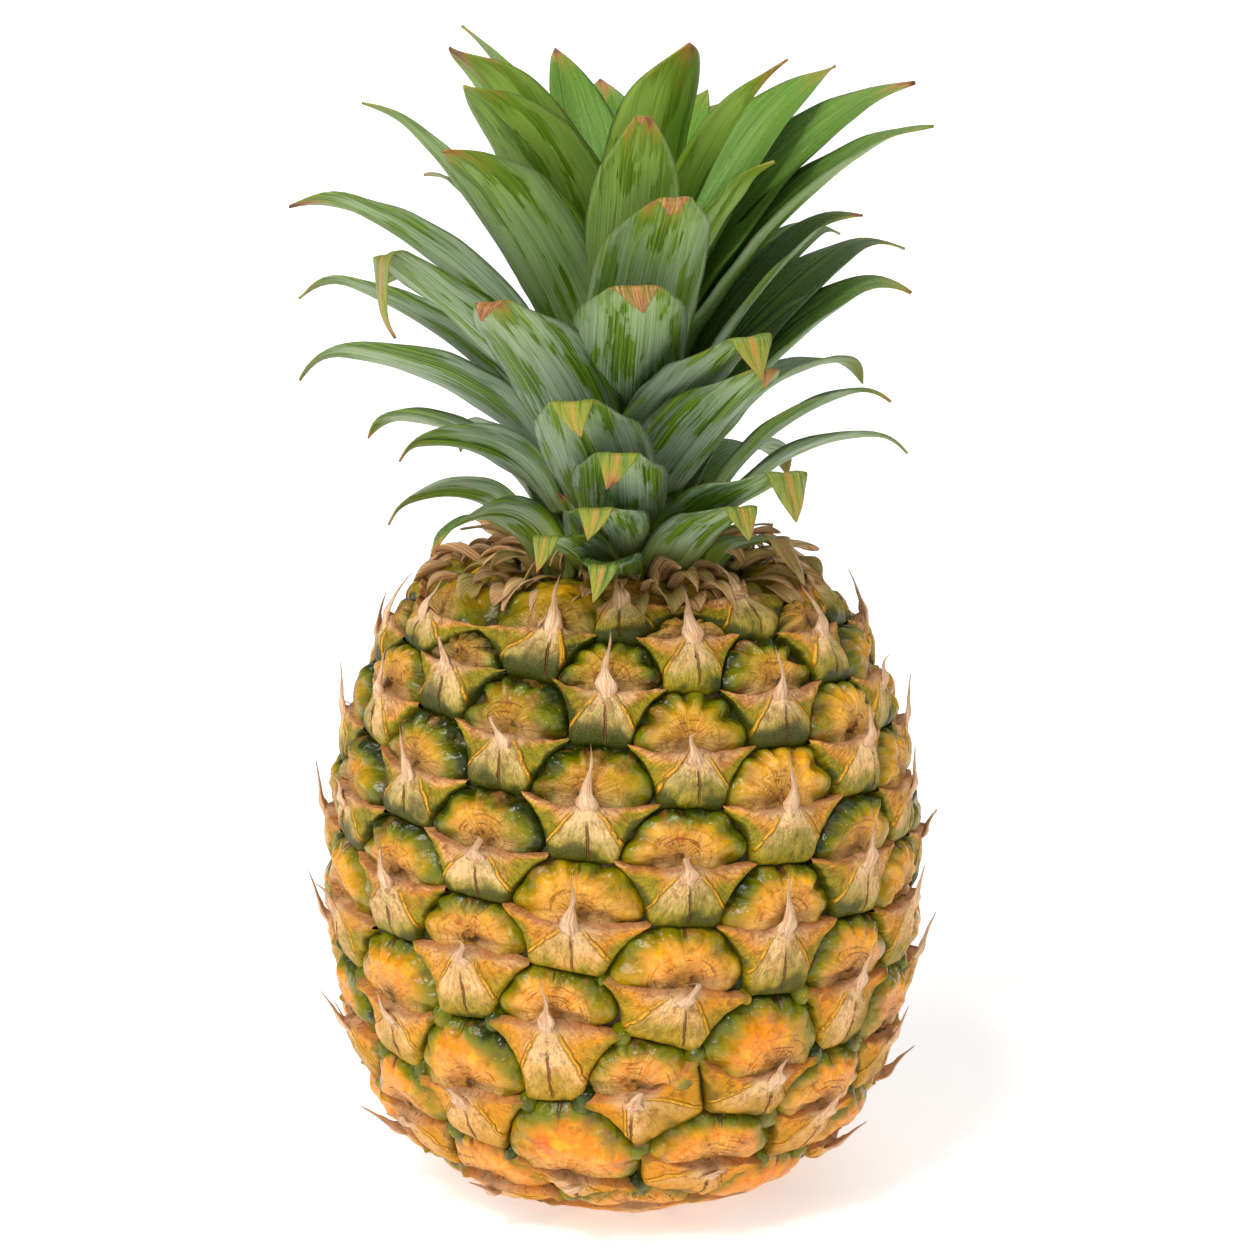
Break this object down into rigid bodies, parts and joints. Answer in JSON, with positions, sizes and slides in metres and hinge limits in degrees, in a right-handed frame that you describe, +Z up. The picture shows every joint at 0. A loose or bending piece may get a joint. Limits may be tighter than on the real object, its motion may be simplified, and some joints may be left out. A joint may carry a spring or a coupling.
{
  "type": "pineapple",
  "caption": "Whole fresh pineapple: a barrel-shaped fruit of fused spiny eyes that stands on its flat underside, under a crown of long channelled leaves",
  "frame": {"origin": "centre of the flat underside that the fruit stands on", "axes": "+Z up along the axis of the fruit and crown; -Y faces the front; +X to the right seen from the front"},
  "size_m": [0.1419, 0.1393, 0.2548],
  "materials": {
    "fruit_skin": "waxy golden-orange eyes with green rims and dark green grooves",
    "dried_bracts": "dry papery tan bracts and spines",
    "cut_stalk": "dry fibrous cut face",
    "crown_stem": "pale green fibrous stem",
    "leaf_green": "satin green leaf with a whitish bloom on the outer side"
  },
  "bodies": {
    "root": {"fruit": "fruit_skin", "cut_stem": "cut_stalk", "crown_stem": "crown_stem", "collar_bracts": "dried_bracts", "leaf_01": "leaf_green", "leaf_02": "leaf_green", "leaf_03": "leaf_green", "leaf_04": "leaf_green", "leaf_05": "leaf_green", "leaf_06": "leaf_green", "leaf_07": "leaf_green", "leaf_08": "leaf_green", "leaf_09": "leaf_green", "leaf_10": "leaf_green", "leaf_11": "leaf_green", "leaf_12": "leaf_green", "leaf_13": "leaf_green", "leaf_14": "leaf_green", "leaf_15": "leaf_green", "leaf_16": "leaf_green", "leaf_17": "leaf_green", "leaf_18": "leaf_green", "leaf_19": "leaf_green", "leaf_20": "leaf_green", "leaf_21": "leaf_green", "leaf_22": "leaf_green", "leaf_23": "leaf_green", "leaf_24": "leaf_green", "leaf_25": "leaf_green", "leaf_26": "leaf_green", "leaf_27": "leaf_green", "leaf_28": "leaf_green", "leaf_29": "leaf_green", "leaf_30": "leaf_green", "leaf_31": "leaf_green", "leaf_32": "leaf_green", "leaf_33": "leaf_green", "leaf_34": "leaf_green", "leaf_35": "leaf_green", "leaf_36": "leaf_green", "leaf_37": "leaf_green", "leaf_38": "leaf_green", "leaf_39": "leaf_green", "leaf_40": "leaf_green", "leaf_41": "leaf_green", "leaf_42": "leaf_green", "leaf_43": "leaf_green", "leaf_44": "leaf_green", "leaf_45": "leaf_green", "leaf_46": "leaf_green", "leaf_47": "leaf_green", "leaf_48": "leaf_green", "leaf_49": "leaf_green", "leaf_50": "leaf_green", "leaf_51": "leaf_green", "leaf_52": "leaf_green", "leaf_53": "leaf_green", "leaf_54": "leaf_green", "leaf_55": "leaf_green", "leaf_56": "leaf_green"}
  },
  "joints": []
}
